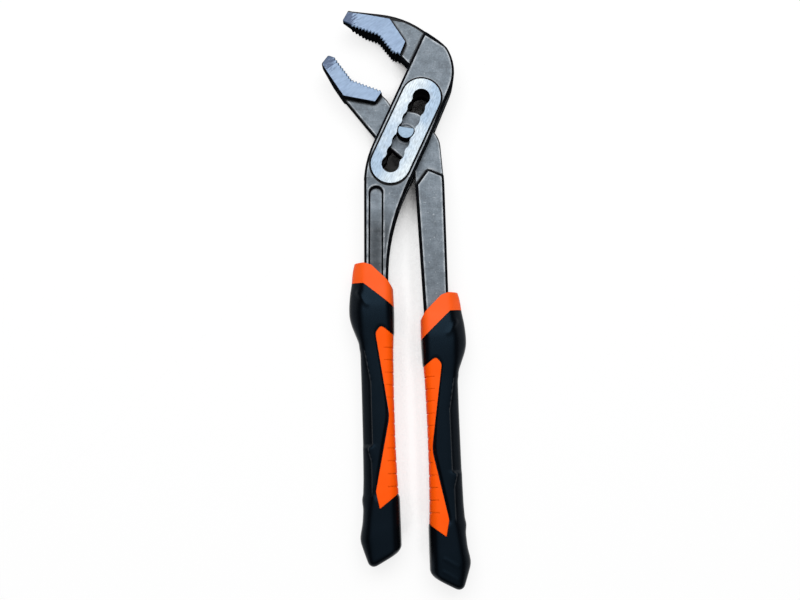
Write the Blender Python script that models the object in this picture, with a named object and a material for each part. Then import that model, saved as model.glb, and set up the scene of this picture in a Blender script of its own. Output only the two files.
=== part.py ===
"""Water pump pliers: two forged arms, a pin in a notched slot and two-shot grips.

Frame: the origin is on the pin's axis, on the plane that the tool lies on.
+Y points to the jaws, +X to the through arm's handle, +Z out of the front face.
The pin is in the middle notch, and the slot's own directions are along it, up to the jaws, and across it.
"""
import math

import bmesh
import bpy

MM = 0.001

# Driving dimensions, in millimetres and degrees

# Slot and box joint
SLOT_ANGLE = 65.8
NOTCH_COUNT = 7
NOTCH_PITCH = 5.5
NOTCH_RADIUS = 3.9
NECK_LENGTH = 1.35
LAND_MARGIN = 2.45
LAND_RISE = 0.6
GROOVE_WIDTH = 0.6
GROOVE_DEPTH = 0.5
BOX_HALF_WIDTH = 11.0
BOX_THICKNESS = 15.0
BOX_EDGE = 1.1
BOX_BELOW_SLOT = 13.2
BOX_RAMP = 7.5

# Web of the through arm, and the room that its window has past the slot's end notches
WEB_THICKNESS = 5.4
WEB_CLEARANCE = 0.3
WINDOW_ROOM_TOP_LEFT = 11.3
WINDOW_ROOM_TOP_RIGHT = 14.5
WINDOW_ROOM_BELOW = 16.5

# Pin
PIN_CLEARANCE = 0.2
PIN_FLAT_HEIGHT = 1.7
PIN_FLAT_ANGLE = -7.0
PIN_EDGE = 0.3

# Jaws
JAW_THICKNESS = 11.0
JAW_STEP = 2.0
JAW_EDGE = 0.35
JAW_OVERHANG = 0.2
CHEEK_EDGE = 1.0
CHEEK_OVERLAP = 3.0
CHEEK_ABOVE_SLOT = 5.5
TOOTH_PITCH = 1.55
TOOTH_DEPTH = 0.8

# Upper jaw: corners (x, y) or (x, y, radius), measured from the middle of the top notch
UPPER_HEEL = (-9.8, 20.4)
UPPER_BITE = (-12.7, 20.9)
UPPER_VALLEY = (-19.1, 29.1)
UPPER_TIP = (-32.2, 33.8)
UPPER_NOSE = (-35.2, 36.0, 0.6)
UPPER_BROW = (-32.0, 41.9, 1.2)
UPPER_CROWN = (-7.6, 39.2, 40.0)
UPPER_PAD_LINE = ((-9.3, 20.0), (-6.7, 26.4), (-13.8, 37.3), (-35.0, 41.4))
HEAD_ABOVE_SLOT = 25.8
HEAD_CORNER_RADIUS = 21.0
HEAD_NARROWING = 1.5
THROAT_ABOVE_SLOT = 11.9
THROAT_RADIUS = 2.0

# Lower jaw and web: corners measured from the pin
LOWER_TIP = (-32.5, 34.2)
LOWER_VALLEY = (-24.4, 23.3)
LOWER_REAR = (-10.9, 18.2)
LOWER_NOSE = (-34.6, 35.2, 0.8)
LOWER_CHIN = (-37.6, 31.0, 1.5)
LOWER_BACK = ((-28.1, 16.7, 50.0), (-18.0, 4.1, 50.0))
LOWER_PAD_LINE = ((-28.9, 16.4), (-13.5, 13.4), (-10.8, 17.5))
WEB_FLANK = ((-11.6, -3.6, 6.0), (-6.5, -7.0, 10.0), (3.7, -15.8, 6.0), (4.3, -24.6, 5.0))
WEB_TOP = ((6.5, 9.4, 7.0), (-6.0, 11.6, 2.0), (-8.2, 15.2, 1.2), (-10.2, 17.2, 0.0))
WEB_END_Y = -32.0
SHOULDER = ((14.8, -18.5), (9.4, -16.3), (3.9, -24.1))
SHOULDER_BACK = ((16.8, -22.0, 40.0), (15.0, -3.0, 10.0))

# Shanks and tangs
SHANK_THICKNESS = 10.0
SHANK_EDGE = 1.1
SHANK_OVERLAP = 8.0
SHANK_OUTER_HALF = 4.6
SHANK_INNER_HALF = 5.9
SHANK_END_DOWN = 3.5
SHANK_END_SLANT = 8.0
INNER_BEND_BELOW_SLOT = 29.9
INNER_BEND_RADIUS = 90.0
OUTER_BEND_BELOW_SLOT = 4.1
OUTER_BEND_RADIUS = 45.0
TANG_WIDTH = 6.4
TANG_THICKNESS = 6.0
TANG_ROOT = 3.5
TANG_CORNER = 2.9
TANG_CLEARANCE = 0.3
PANEL_WIDTH = 6.5
PANEL_DEPTH = 0.8
PANEL_ON_RAMP = 3.8
PANEL_UNDER_COLLAR = 8.5
PANEL_INSET = 0.6

# Grips: place of each grip's collar, its lean from the vertical and its length
LEFT_GRIP_X = -13.65
LEFT_GRIP_Y = -58.8
LEFT_GRIP_LEAN = 1.8
LEFT_GRIP_LENGTH = 126.0
RIGHT_GRIP_X = 13.6
RIGHT_GRIP_Y = -72.0
RIGHT_GRIP_LEAN = 2.15
RIGHT_GRIP_LENGTH = 122.4

# Grip form: distances run down from the collar of a grip of this length, which each grip stretches
# to its own, and outer is the side away from the other grip
GRIP_LENGTH = 123.0
GRIP_ROUNDNESS = 2.7
GRIP_START = -3.0
COLLAR_OUTER = 10.0
COLLAR_INNER = 7.8
COLLAR_FLARE = 0.5
COLLAR_WALL = 1.8
GUARD_AT = 19.0
GUARD_OUTER = 12.0
GUARD_LENGTH = 6.0
GUARD_FALL = 0.9
GUARD_TO_WAIST = 9.0
WAIST_AT = 62.0
WAIST_OUTER = 7.7
WAIST_INNER = 7.3
WAIST_HALF_THICKNESS = 6.9
WAIST_SWELL = 0.2
TAIL_LENGTH = 19.0
TAIL_WIDEST = 11.5
TAIL_OUTER = 9.5
TAIL_INNER = 7.8
TAIL_HALF_THICKNESS = 7.3
TAIL_TAPER = 3.0
TAIL_SLANT = 0.5
TAIL_SOLID = 31.0
END_ROUNDING = 4.0
END_BLUNTNESS = 0.75

# Two-shot moulding: the hard sleeve shows as a collar and as an inlay, and the cover lies round them
COVER_THICKNESS = 1.8
MOULD_GAP = 0.3
COLLAR_TOP = -0.5
COLLAR_HEIGHT = 8.0
CORE_SETBACK = 2.0
INLAY_START = 26.3
INLAY_TAIL = 20.6
RIB_COUNT = 12
RIB_PITCH = 5.2
RIB_HEIGHT = 0.5
RIB_START = 35.0

# Edges of the collar and corners of the inlay, as distances (down, outward) along and across a grip
COLLAR_TOP_EDGE = ((0.0, 4.6), (1.1, 1.4), (7.9, -5.6), (11.1, -7.6), (17.5, -14.0))
COLLAR_BOTTOM_EDGE = ((15.5, -14.0), (0.2, 5.0), (-0.6, 14.0))
INLAY_TOP = ((9.2, -14.0, 0.0), (0.0, -2.0, 2.0), (3.0, 0.4, 1.5))
INLAY_WAIST = (2.0, -4.2, 3.0)
INLAY_BOTTOM = ((-6.9, 2.0, 1.0), (0.0, 0.6, 0.5), (-10.9, -14.0, 0.0))

# Mesh fineness
FACET_SAG = 0.04
GRIP_SIDES = 20
GRIP_RINGS = 22
RIB_RINGS = 4
END_RINGS = 3
CREASE_ANGLE = 35.0

# Worked out from the dimensions above
MID_Z = BOX_THICKNESS / 2
PLATE_THICKNESS = BOX_THICKNESS - 2 * LAND_RISE
LAND_RADIUS = BOX_HALF_WIDTH - LAND_MARGIN
CHEEK_THICKNESS = JAW_THICKNESS - 2 * JAW_STEP
WINDOW_HEIGHT = WEB_THICKNESS + 2 * WEB_CLEARANCE
PIN_RADIUS = NOTCH_RADIUS - PIN_CLEARANCE
SLOT_HALF = NOTCH_PITCH * (NOTCH_COUNT - 1) / 2
SLOT_COS = math.cos(math.radians(SLOT_ANGLE))
SLOT_SIN = math.sin(math.radians(SLOT_ANGLE))
BOX_END_Y = -SLOT_HALF * SLOT_SIN - BOX_BELOW_SLOT
COLLAR_HALF_THICKNESS = SHANK_THICKNESS / 2 + COLLAR_WALL
GUARD_HALF_THICKNESS = BOX_THICKNESS / 2
WAIST_FROM = GUARD_AT + GUARD_LENGTH + GUARD_TO_WAIST
TAIL_FROM = GRIP_LENGTH - TAIL_LENGTH
TANG_END = GRIP_LENGTH - TAIL_SOLID
OVERLAP_INSET = 0.05
FILLET_ROOM = 0.98
BEYOND = 4 * BOX_THICKNESS

# Side of each grip: collar's place, lean, which way is outward, and how far its length is stretched
LEFT = (LEFT_GRIP_X, LEFT_GRIP_Y, LEFT_GRIP_LEAN, -1, LEFT_GRIP_LENGTH / GRIP_LENGTH)
RIGHT = (RIGHT_GRIP_X, RIGHT_GRIP_Y, RIGHT_GRIP_LEAN, 1, RIGHT_GRIP_LENGTH / GRIP_LENGTH)


# Points and outlines

def box_point(along, across, radius=0.0):
    """A corner in the box's own directions: along the slot, and across it to the right."""
    return (along * SLOT_COS + across * SLOT_SIN, along * SLOT_SIN - across * SLOT_COS, radius)


def head_point(x, y, radius=0.0):
    """A corner measured from the middle of the top notch."""
    return (x + SLOT_HALF * SLOT_COS, y + SLOT_HALF * SLOT_SIN, radius)


def grip_point(side, down, outward, radius=0.0):
    """A corner in a grip's own directions: down from its collar, and outward."""
    x, y, lean, outer, stretch = side
    lean = math.radians(lean)
    down *= stretch
    across = outward * outer
    return (x + down * math.sin(lean) + across * math.cos(lean),
            y - down * math.cos(lean) + across * math.sin(lean), radius)


def arc_steps(radius, sweep):
    """How many straight facets an arc needs to stay within FACET_SAG of its circle."""
    widest_facet = math.radians(60.0)
    facet = 2 * math.acos(max(math.cos(widest_facet / 2), 1 - FACET_SAG / radius))
    return max(2, math.ceil(sweep / facet))


def arc(x, y, radius, start, sweep):
    steps = arc_steps(radius, abs(sweep))
    angles = [start + sweep * step / steps for step in range(steps + 1)]
    return [(x + radius * math.cos(angle), y + radius * math.sin(angle)) for angle in angles]


def counter_clockwise(outline):
    area = sum(a[0] * b[1] - b[0] * a[1] for a, b in zip(outline, outline[1:] + outline[:1]))
    return outline if area > 0 else outline[::-1]


def rounded(corners):
    """An outline through corners (x, y, radius), each rounded by an arc that its sides have room for."""
    count = len(corners)
    turns = []
    for index, (x, y, radius) in enumerate(corners):
        before, after = corners[index - 1], corners[(index + 1) % count]
        back = math.atan2(before[1] - y, before[0] - x)
        ahead = math.atan2(after[1] - y, after[0] - x)
        opening = (ahead - back + math.pi) % (2 * math.pi) - math.pi
        turns.append((back, opening, radius / math.tan(abs(opening) / 2)))
    room = [1.0] * count
    for index in range(count):
        side = math.dist(corners[index][:2], corners[index - 1][:2])
        wanted = turns[index][2] + turns[index - 1][2]
        share = min(1.0, FILLET_ROOM * side / wanted) if wanted else 1.0
        room[index] = min(room[index], share)
        room[index - 1] = min(room[index - 1], share)
    outline = []
    for (x, y, radius), (back, opening, reach), share in zip(corners, turns, room):
        if radius == 0.0:
            outline.append((x, y))
            continue
        radius, reach = radius * share, reach * share
        middle = back + opening / 2
        cx = x + radius / math.sin(abs(opening) / 2) * math.cos(middle)
        cy = y + radius / math.sin(abs(opening) / 2) * math.sin(middle)
        start = math.atan2(y + reach * math.sin(back) - cy, x + reach * math.cos(back) - cx)
        outline += arc(cx, cy, radius, start, math.copysign(math.pi - abs(opening), -opening))
    return counter_clockwise(outline)


def teeth(start, end):
    """Corners of saw teeth from start to end, cut into the side on the right of that way."""
    run_x, run_y = end[0] - start[0], end[1] - start[1]
    length = math.hypot(run_x, run_y)
    count = max(1, round(length / TOOTH_PITCH))
    side_x, side_y = run_y / length * TOOTH_DEPTH, -run_x / length * TOOTH_DEPTH
    corners = []
    for tooth in range(count):
        tip = tooth / count
        root = (tooth + 0.5) / count
        corners.append((start[0] + run_x * tip, start[1] + run_y * tip, 0.0))
        corners.append((start[0] + run_x * root + side_x, start[1] + run_y * root + side_y, 0.0))
    return corners


def grown(outline, distance):
    """The outline moved outward by a distance, or inward by a negative one."""
    moved = []
    count = len(outline)
    for index, (x, y) in enumerate(outline):
        px, py = outline[index - 1]
        nx, ny = outline[(index + 1) % count]
        in_length = math.hypot(x - px, y - py)
        out_length = math.hypot(nx - x, ny - y)
        ax, ay = (y - py) / in_length, -(x - px) / in_length
        bx, by = (ny - y) / out_length, -(nx - x) / out_length
        scale = distance / (1 + ax * bx + ay * by)
        moved.append((x + (ax + bx) * scale, y + (ay + by) * scale))
    return moved


def clipped(outline, *line):
    """The part of an outline on the left of each stretch of a line."""
    for start, end in zip(line, line[1:]):
        way_x, way_y = end[0] - start[0], end[1] - start[1]
        heights = [way_x * (y - start[1]) - way_y * (x - start[0]) for x, y in outline]
        kept = []
        for index, a in enumerate(outline):
            following = (index + 1) % len(outline)
            b = outline[following]
            height_a, height_b = heights[index], heights[following]
            if height_a >= 0:
                kept.append(a)
            if height_a * height_b < 0:
                share = height_a / (height_a - height_b)
                kept.append((a[0] + (b[0] - a[0]) * share, a[1] + (b[1] - a[1]) * share))
        outline = kept
    return outline


def above(outline, y):
    return clipped(outline, (-BEYOND, y), (BEYOND, y))


def below(outline, y):
    return clipped(outline, (BEYOND, y), (-BEYOND, y))


def without_short_sides(outline, shortest):
    kept = []
    for point in outline:
        if not kept or math.dist(point, kept[-1]) >= shortest:
            kept.append(point)
    if math.dist(kept[0], kept[-1]) < shortest:
        kept.pop()
    return kept


def circle(radius):
    return arc(0.0, 0.0, radius, 0.0, 2 * math.pi)[:-1]


def stadium(first, second, radius):
    """An outline with round ends about two points."""
    heading = math.atan2(second[1] - first[1], second[0] - first[0])
    return (arc(*second, radius, heading - math.pi / 2, math.pi)
            + arc(*first, radius, heading + math.pi / 2, math.pi))


# Solids

def new_object(name, bm):
    bmesh.ops.recalc_face_normals(bm, faces=bm.faces)
    mesh = bpy.data.meshes.new(name)
    bm.to_mesh(mesh)
    bm.free()
    result = bpy.data.objects.new(name, mesh)
    bpy.context.scene.collection.objects.link(result)
    return result


def skinned(name, rings):
    """A closed skin over rings of points (x, y, z) in millimetres, with flat end caps."""
    bm = bmesh.new()
    loops = [[bm.verts.new((x * MM, y * MM, z * MM)) for x, y, z in ring] for ring in rings]
    for lower, upper in zip(loops, loops[1:]):
        for index in range(len(lower)):
            bm.faces.new((lower[index - 1], lower[index], upper[index], upper[index - 1]))
    bm.faces.new(loops[0])
    bm.faces.new(loops[-1])
    return new_object(name, bm)


def slab(name, outline, thickness, edge=0.0, middle=MID_Z):
    """A slab of an outline about a middle height, with its rims chamfered by edge."""
    half = thickness / 2
    layers = [(0.0, -half), (0.0, half)]
    if edge:
        outline = without_short_sides(outline, edge)
        layers = [(-edge, -half), (0.0, edge - half), (0.0, half - edge), (-edge, half)]
    rings = []
    for inset, height in layers:
        rings.append([(x, y, middle + height) for x, y in (grown(outline, inset) if inset else outline)])
    return skinned(name, rings)


def boolean(target, tool, operation):
    modifier = target.modifiers.new(operation.lower(), "BOOLEAN")
    modifier.operation = operation
    modifier.object = tool
    modifier.solver = "EXACT"
    graph = bpy.context.evaluated_depsgraph_get()
    mesh = bpy.data.meshes.new_from_object(target.evaluated_get(graph))
    target.modifiers.clear()
    target.data = mesh
    bpy.data.objects.remove(tool)


def united(name, pieces):
    result = pieces[0]
    for piece in pieces[1:]:
        boolean(result, piece, "UNION")
    result.name = name
    result.data.name = name
    return result


# Arms and pin

def shank_end(side):
    """The slanted end of a shank, hidden in the grip's collar, from its outer to its inner edge."""
    return [grip_point(side, SHANK_END_DOWN, SHANK_OUTER_HALF),
            grip_point(side, SHANK_END_DOWN + SHANK_END_SLANT, -SHANK_INNER_HALF)]


def tang_outline(side):
    half = TANG_WIDTH / 2
    start = SHANK_END_DOWN - TANG_ROOT
    return rounded([grip_point(side, start, half), grip_point(side, TANG_END, half, TANG_CORNER),
                    grip_point(side, TANG_END, -half, TANG_CORNER), grip_point(side, start, -half)])


def slotted_plan():
    """Whole outline of the slotted arm, from the jaw's tip over the head and down to the tang."""
    outer_end, inner_end = shank_end(LEFT)
    corners = [head_point(*UPPER_NOSE), head_point(*UPPER_BROW), head_point(*UPPER_CROWN),
               box_point(SLOT_HALF + HEAD_ABOVE_SLOT, BOX_HALF_WIDTH - HEAD_NARROWING, HEAD_CORNER_RADIUS),
               box_point(0.0, BOX_HALF_WIDTH),
               box_point(-SLOT_HALF - INNER_BEND_BELOW_SLOT, BOX_HALF_WIDTH, INNER_BEND_RADIUS),
               inner_end, outer_end,
               box_point(-SLOT_HALF - OUTER_BEND_BELOW_SLOT, -BOX_HALF_WIDTH, OUTER_BEND_RADIUS),
               box_point(SLOT_HALF + THROAT_ABOVE_SLOT, -BOX_HALF_WIDTH, THROAT_RADIUS)]
    bite_line = [head_point(*corner) for corner in (UPPER_HEEL, UPPER_BITE, UPPER_VALLEY, UPPER_TIP)]
    for start, end in zip(bite_line, bite_line[1:]):
        corners += teeth(start, end)
    return rounded(corners)


def through_plan():
    """Whole outline of the through arm, from the lower jaw's tip round the web to the tang."""
    outer_end, inner_end = shank_end(RIGHT)
    corners = [LOWER_NOSE, LOWER_CHIN, *LOWER_BACK, *WEB_FLANK, inner_end, outer_end, *SHOULDER_BACK, *WEB_TOP]
    corners += teeth(LOWER_REAR, LOWER_VALLEY) + teeth(LOWER_VALLEY, LOWER_TIP)
    return rounded(corners)


def slot_outline():
    """The chain of notches: an arc for each notch on both sides, joined by straight necks."""
    shoulder = math.asin((NOTCH_PITCH - NECK_LENGTH) / 2 / NOTCH_RADIUS)
    points = []
    for side in (1, -1):
        for notch in range(NOTCH_COUNT):
            first = math.pi / 2 if notch == 0 else shoulder
            last = -math.pi / 2 if notch == NOTCH_COUNT - 1 else -shoulder
            along = SLOT_HALF - notch * NOTCH_PITCH
            for x, y in arc(along, 0.0, NOTCH_RADIUS, math.pi / 2 - first, first - last):
                points.append(box_point(side * x, side * y)[:2])
        points.pop()
    return counter_clockwise(points)


def window_outline():
    """The way through the box for the web, open on both sides, from above the top notch to the shank."""
    top_left = SLOT_HALF + WINDOW_ROOM_TOP_LEFT
    top_right = SLOT_HALF + WINDOW_ROOM_TOP_RIGHT
    bottom = -SLOT_HALF - WINDOW_ROOM_BELOW
    corners = [(top_left, -BEYOND), (top_left, -BOX_HALF_WIDTH), (top_right, BOX_HALF_WIDTH),
               (top_right, BEYOND), (bottom, BEYOND), (bottom, -BEYOND)]
    return counter_clockwise([box_point(along, across)[:2] for along, across in corners])


def panel_outline():
    half = PANEL_WIDTH / 2
    x = LEFT_GRIP_X + PANEL_INSET
    top = BOX_END_Y + PANEL_ON_RAMP
    bottom = LEFT_GRIP_Y - PANEL_UNDER_COLLAR
    return stadium((x, top - half), (x, bottom + half), half)


def ramp(plan):
    """The lower end of the box, with both faces sloped down to the shank."""
    top = BOX_END_Y + BOX_RAMP + BOX_EDGE - 2 * OVERLAP_INSET
    bottom = BOX_END_Y - BOX_EDGE - 4 * OVERLAP_INSET
    outline = without_short_sides(above(below(plan, top), bottom), BOX_EDGE)
    slope = (PLATE_THICKNESS - SHANK_THICKNESS) / 2 / BOX_RAMP
    rings = []
    for inset, face in ((-BOX_EDGE, -1), (0.0, -1), (0.0, 1), (-BOX_EDGE, 1)):
        drop = BOX_EDGE + inset
        ring = []
        for x, y in grown(outline, inset):
            height = SHANK_THICKNESS / 2 + slope * (y - BOX_END_Y) - drop
            ring.append((x, y, MID_Z + face * height))
        rings.append(ring)
    return skinned("ramp", rings)


def slotted_arm():
    plan = slotted_plan()
    inner_plan = grown(plan, -OVERLAP_INSET)
    step = -BOX_HALF_WIDTH - JAW_OVERHANG
    box = clipped(plan, box_point(BEYOND, step), box_point(0.0, step))
    box = above(box, BOX_END_Y + BOX_RAMP - BOX_EDGE - 4 * OVERLAP_INSET)
    side = CHEEK_OVERLAP - BOX_HALF_WIDTH
    cheek_start = SLOT_HALF + CHEEK_ABOVE_SLOT
    cheek = clipped(inner_plan, box_point(0.0, side), box_point(BEYOND, side))
    cheek = clipped(cheek, box_point(cheek_start, -BEYOND), box_point(cheek_start, 0.0))
    pad_line = [head_point(*corner) for corner in UPPER_PAD_LINE]
    land_ends = [box_point(end * SLOT_HALF, 0.0)[:2] for end in (-1, 1)]
    arm = united("slotted_arm", [
        slab("box", box, PLATE_THICKNESS, BOX_EDGE), ramp(grown(plan, -2 * OVERLAP_INSET)),
        slab("cheek", cheek, CHEEK_THICKNESS, CHEEK_EDGE),
        slab("pad", clipped(plan, *pad_line), JAW_THICKNESS, JAW_EDGE),
        slab("shank", below(inner_plan, BOX_END_Y + SHANK_OVERLAP), SHANK_THICKNESS, SHANK_EDGE),
        slab("tang", tang_outline(LEFT), TANG_THICKNESS)])
    groove = stadium(*land_ends, LAND_RADIUS + GROOVE_WIDTH)
    above_floor = (PLATE_THICKNESS + BOX_THICKNESS) / 2 - GROOVE_DEPTH
    for face in (-1, 1):
        boolean(arm, slab("groove", groove, BOX_THICKNESS, GROOVE_DEPTH, MID_Z + face * above_floor), "DIFFERENCE")
    boolean(arm, slab("land", stadium(*land_ends, LAND_RADIUS), BOX_THICKNESS), "UNION")
    boolean(arm, slab("window", window_outline(), WINDOW_HEIGHT), "DIFFERENCE")
    boolean(arm, slab("slot", slot_outline(), 2 * BOX_THICKNESS), "DIFFERENCE")
    panel_floor = MID_Z + SHANK_THICKNESS / 2 - PANEL_DEPTH
    panel = slab("panel", panel_outline(), BOX_THICKNESS, PANEL_DEPTH, panel_floor + BOX_THICKNESS / 2)
    boolean(arm, panel, "DIFFERENCE")
    return arm


def through_arm():
    plan = through_plan()
    web = above(grown(plan, -OVERLAP_INSET), WEB_END_Y)
    arm = united("through_arm", [
        slab("web", web, WEB_THICKNESS),
        slab("pad", clipped(plan, *LOWER_PAD_LINE), JAW_THICKNESS, JAW_EDGE),
        slab("shank", clipped(plan, *SHOULDER), SHANK_THICKNESS, SHANK_EDGE),
        slab("tang", tang_outline(RIGHT), TANG_THICKNESS)])
    boolean(arm, slab("bore", circle(PIN_RADIUS + PIN_CLEARANCE), 2 * BOX_THICKNESS), "DIFFERENCE")
    return arm


def pivot_pin():
    """The pin: round where the web turns on it, with one flat on both ends."""
    flat = math.radians(PIN_FLAT_ANGLE)
    flat_x, flat_y = -PIN_FLAT_HEIGHT * math.sin(flat), PIN_FLAT_HEIGHT * math.cos(flat)
    line = [(flat_x + way * math.cos(flat), flat_y + way * math.sin(flat)) for way in (BEYOND, -BEYOND)]
    ends = slab("ends", clipped(circle(PIN_RADIUS), *line), BOX_THICKNESS, PIN_EDGE)
    journal = slab("journal", circle(PIN_RADIUS + OVERLAP_INSET), WEB_THICKNESS)
    return united("pivot_pin", [ends, journal])


# Grips

def grip_stations():
    """Distance down the grip, outer and inner half widths, and half thickness."""
    swollen = WAIST_HALF_THICKNESS + WAIST_SWELL
    return [(GRIP_START, COLLAR_OUTER, COLLAR_INNER, COLLAR_HALF_THICKNESS),
            (COLLAR_HEIGHT, COLLAR_OUTER + COLLAR_FLARE, COLLAR_INNER, COLLAR_HALF_THICKNESS),
            (GUARD_AT, GUARD_OUTER, COLLAR_INNER, GUARD_HALF_THICKNESS),
            (GUARD_AT + GUARD_LENGTH, GUARD_OUTER - GUARD_FALL, COLLAR_INNER, GUARD_HALF_THICKNESS),
            (WAIST_FROM, WAIST_OUTER + WAIST_SWELL, WAIST_INNER + WAIST_SWELL, swollen),
            (WAIST_AT, WAIST_OUTER, WAIST_INNER, WAIST_HALF_THICKNESS),
            (TAIL_FROM, WAIST_OUTER + WAIST_SWELL, TAIL_INNER, swollen),
            (GRIP_LENGTH - TAIL_WIDEST, TAIL_OUTER, TAIL_INNER, TAIL_HALF_THICKNESS),
            (GRIP_LENGTH - END_ROUNDING, TAIL_OUTER - TAIL_TAPER, TAIL_INNER, TAIL_HALF_THICKNESS)]


def station_at(down):
    """Half widths and half thickness at a distance, eased between the stations."""
    stations = grip_stations()
    for low, high in zip(stations, stations[1:]):
        if down <= high[0]:
            break
    share = min(1.0, (down - low[0]) / (high[0] - low[0]))
    ease = share * share * (3 - 2 * share)
    return [a + (b - a) * ease for a, b in zip(low[1:], high[1:])]


def grip_ring(side, down, shrink, scale=1.0, rib=0.0):
    """One cross-section of a grip: a squared ellipse, which a rib widens on its inner side."""
    outer, inner, half_thickness = station_at(down)
    centre = (outer - inner) / 2
    half_width = (outer + inner) / 2 - shrink
    half_thickness -= shrink
    slant = TAIL_SLANT * max(0.0, (down - TAIL_FROM) / TAIL_LENGTH)
    power = 2 / GRIP_ROUNDNESS
    ring = []
    for step in range(GRIP_SIDES):
        angle = 2 * math.pi * (step + 0.5) / GRIP_SIDES
        cosine, sine = math.cos(angle), math.sin(angle)
        reach = half_width if cosine > 0 else half_width + rib
        outward = centre + scale * reach * math.copysign(abs(cosine) ** power, cosine)
        height = scale * half_thickness * math.copysign(abs(sine) ** power, sine)
        x, y, _ = grip_point(side, down + slant * outward, outward)
        ring.append((x, y, MID_Z + height))
    return ring


def evenly(start, end, count):
    return [start + (end - start) * step / count for step in range(count + 1)]


def grip_form(name, side, end, shrink=0.0):
    """The grip's outer form down to its end, or one that lies deeper by shrink."""
    last = end - END_ROUNDING
    rings = [grip_ring(side, down, shrink) for down in evenly(GRIP_START, last, GRIP_RINGS)]
    for share in evenly(0.0, 1.0, END_RINGS)[1:]:
        scale = math.sqrt(1 - (share * END_BLUNTNESS) ** 2)
        rings.append(grip_ring(side, last + END_ROUNDING * share, shrink, scale))
    return skinned(name, rings)


def ribbed_form(name, side):
    """The grip's outer form past both ends of the inlay, with ribs across its inner side."""
    rib_end = RIB_START + RIB_COUNT * RIB_PITCH
    plain_top = evenly(INLAY_START - GUARD_LENGTH, RIB_START, RIB_RINGS)
    plain_bottom = evenly(rib_end, GRIP_LENGTH - END_ROUNDING, RIB_RINGS)
    rings = [grip_ring(side, down, 0.0) for down in plain_top[:-1]]
    for down in evenly(RIB_START, rib_end, RIB_COUNT * RIB_RINGS):
        wave = 0.5 - 0.5 * math.cos(2 * math.pi * (down - RIB_START) / RIB_PITCH)
        rings.append(grip_ring(side, down, 0.0, rib=RIB_HEIGHT * wave))
    rings += [grip_ring(side, down, 0.0) for down in plain_bottom[1:]]
    return skinned(name, rings)


def collar_outline(side, top, bottom):
    """A band across the grip, seen from the front, that slants down to the inner side."""
    edge = [(top + down, outward) for down, outward in ((0.0, -COLLAR_TOP_EDGE[-1][1]), *COLLAR_TOP_EDGE)]
    edge += [(bottom + down, outward) for down, outward in COLLAR_BOTTOM_EDGE]
    return counter_clockwise([grip_point(side, down, outward)[:2] for down, outward in edge])


def inlay_outline(side):
    """The hard inlay seen from the front: wide at both ends, drawn in at the waist."""
    groups = ((INLAY_START, INLAY_TOP), (WAIST_AT, (INLAY_WAIST,)), (GRIP_LENGTH - INLAY_TAIL, INLAY_BOTTOM))
    corners = []
    for place, group in groups:
        corners += [grip_point(side, place + down, outward, radius) for down, outward, radius in group]
    return rounded(corners)


def arm_cavity(side, plan):
    """What an arm fills inside its sleeve, with the tang's clearance all round."""
    shank = below(plan, side[1] + BOX_THICKNESS)
    room = 2 * TANG_CLEARANCE
    return united("cavity", [
        slab("shank_cavity", grown(shank, TANG_CLEARANCE), SHANK_THICKNESS + room),
        slab("tang_cavity", grown(tang_outline(side), TANG_CLEARANCE), TANG_THICKNESS + room)])


def grip_sleeve(name, side, plan):
    """The hard moulding: a core round the tang that shows as the collar and as the ribbed inlay."""
    through = 2 * BOX_THICKNESS
    sleeve = grip_form("core", side, GRIP_LENGTH - COVER_THICKNESS, COVER_THICKNESS)
    core_outline = collar_outline(side, COLLAR_TOP + CORE_SETBACK, 2 * GRIP_LENGTH)
    boolean(sleeve, slab("core_keep", core_outline, through), "INTERSECT")
    collar = grip_form("collar", side, GRIP_LENGTH)
    boolean(collar, slab("collar_keep", collar_outline(side, COLLAR_TOP, COLLAR_HEIGHT), through), "INTERSECT")
    inlay = ribbed_form("inlay", side)
    boolean(inlay, slab("inlay_keep", inlay_outline(side), through), "INTERSECT")
    sleeve = united(name, [sleeve, collar, inlay])
    boolean(sleeve, arm_cavity(side, plan), "DIFFERENCE")
    return sleeve


def grip_cover(name, side):
    """The soft moulding: a skin over the core, open at the collar and at the inlay."""
    through = 2 * BOX_THICKNESS
    cover = grip_form(name, side, GRIP_LENGTH)
    core_end = GRIP_LENGTH - COVER_THICKNESS + MOULD_GAP
    boolean(cover, grip_form("core_room", side, core_end, COVER_THICKNESS - MOULD_GAP), "DIFFERENCE")
    for outline in (collar_outline(side, -GRIP_LENGTH, COLLAR_HEIGHT), inlay_outline(side)):
        boolean(cover, slab("opening", grown(outline, MOULD_GAP), through), "DIFFERENCE")
    return cover


# Materials and assembly

def finish(name, colour, roughness, metallic=0.0):
    material = bpy.data.materials.new(name)
    material.use_nodes = True
    shader = material.node_tree.nodes["Principled BSDF"]
    shader.inputs["Base Color"].default_value = (*colour, 1.0)
    shader.inputs["Roughness"].default_value = roughness
    shader.inputs["Metallic"].default_value = metallic
    return material


def finished(piece, material, parent=None):
    """Smooth shading with crisp corners, one material, and a parent that carries the piece."""
    piece.data.shade_smooth()
    piece.data.set_sharp_from_angle(angle=math.radians(CREASE_ANGLE))
    piece.data.materials.clear()
    piece.data.materials.append(material)
    piece.parent = parent


def joint_empty(name, parent=None):
    """An empty on the pin's axis: what it carries slides from notch to notch, or turns about the pin."""
    empty = bpy.data.objects.new(name, None)
    empty.empty_display_size = BOX_THICKNESS * MM
    bpy.context.scene.collection.objects.link(empty)
    empty.parent = parent
    return empty


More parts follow.
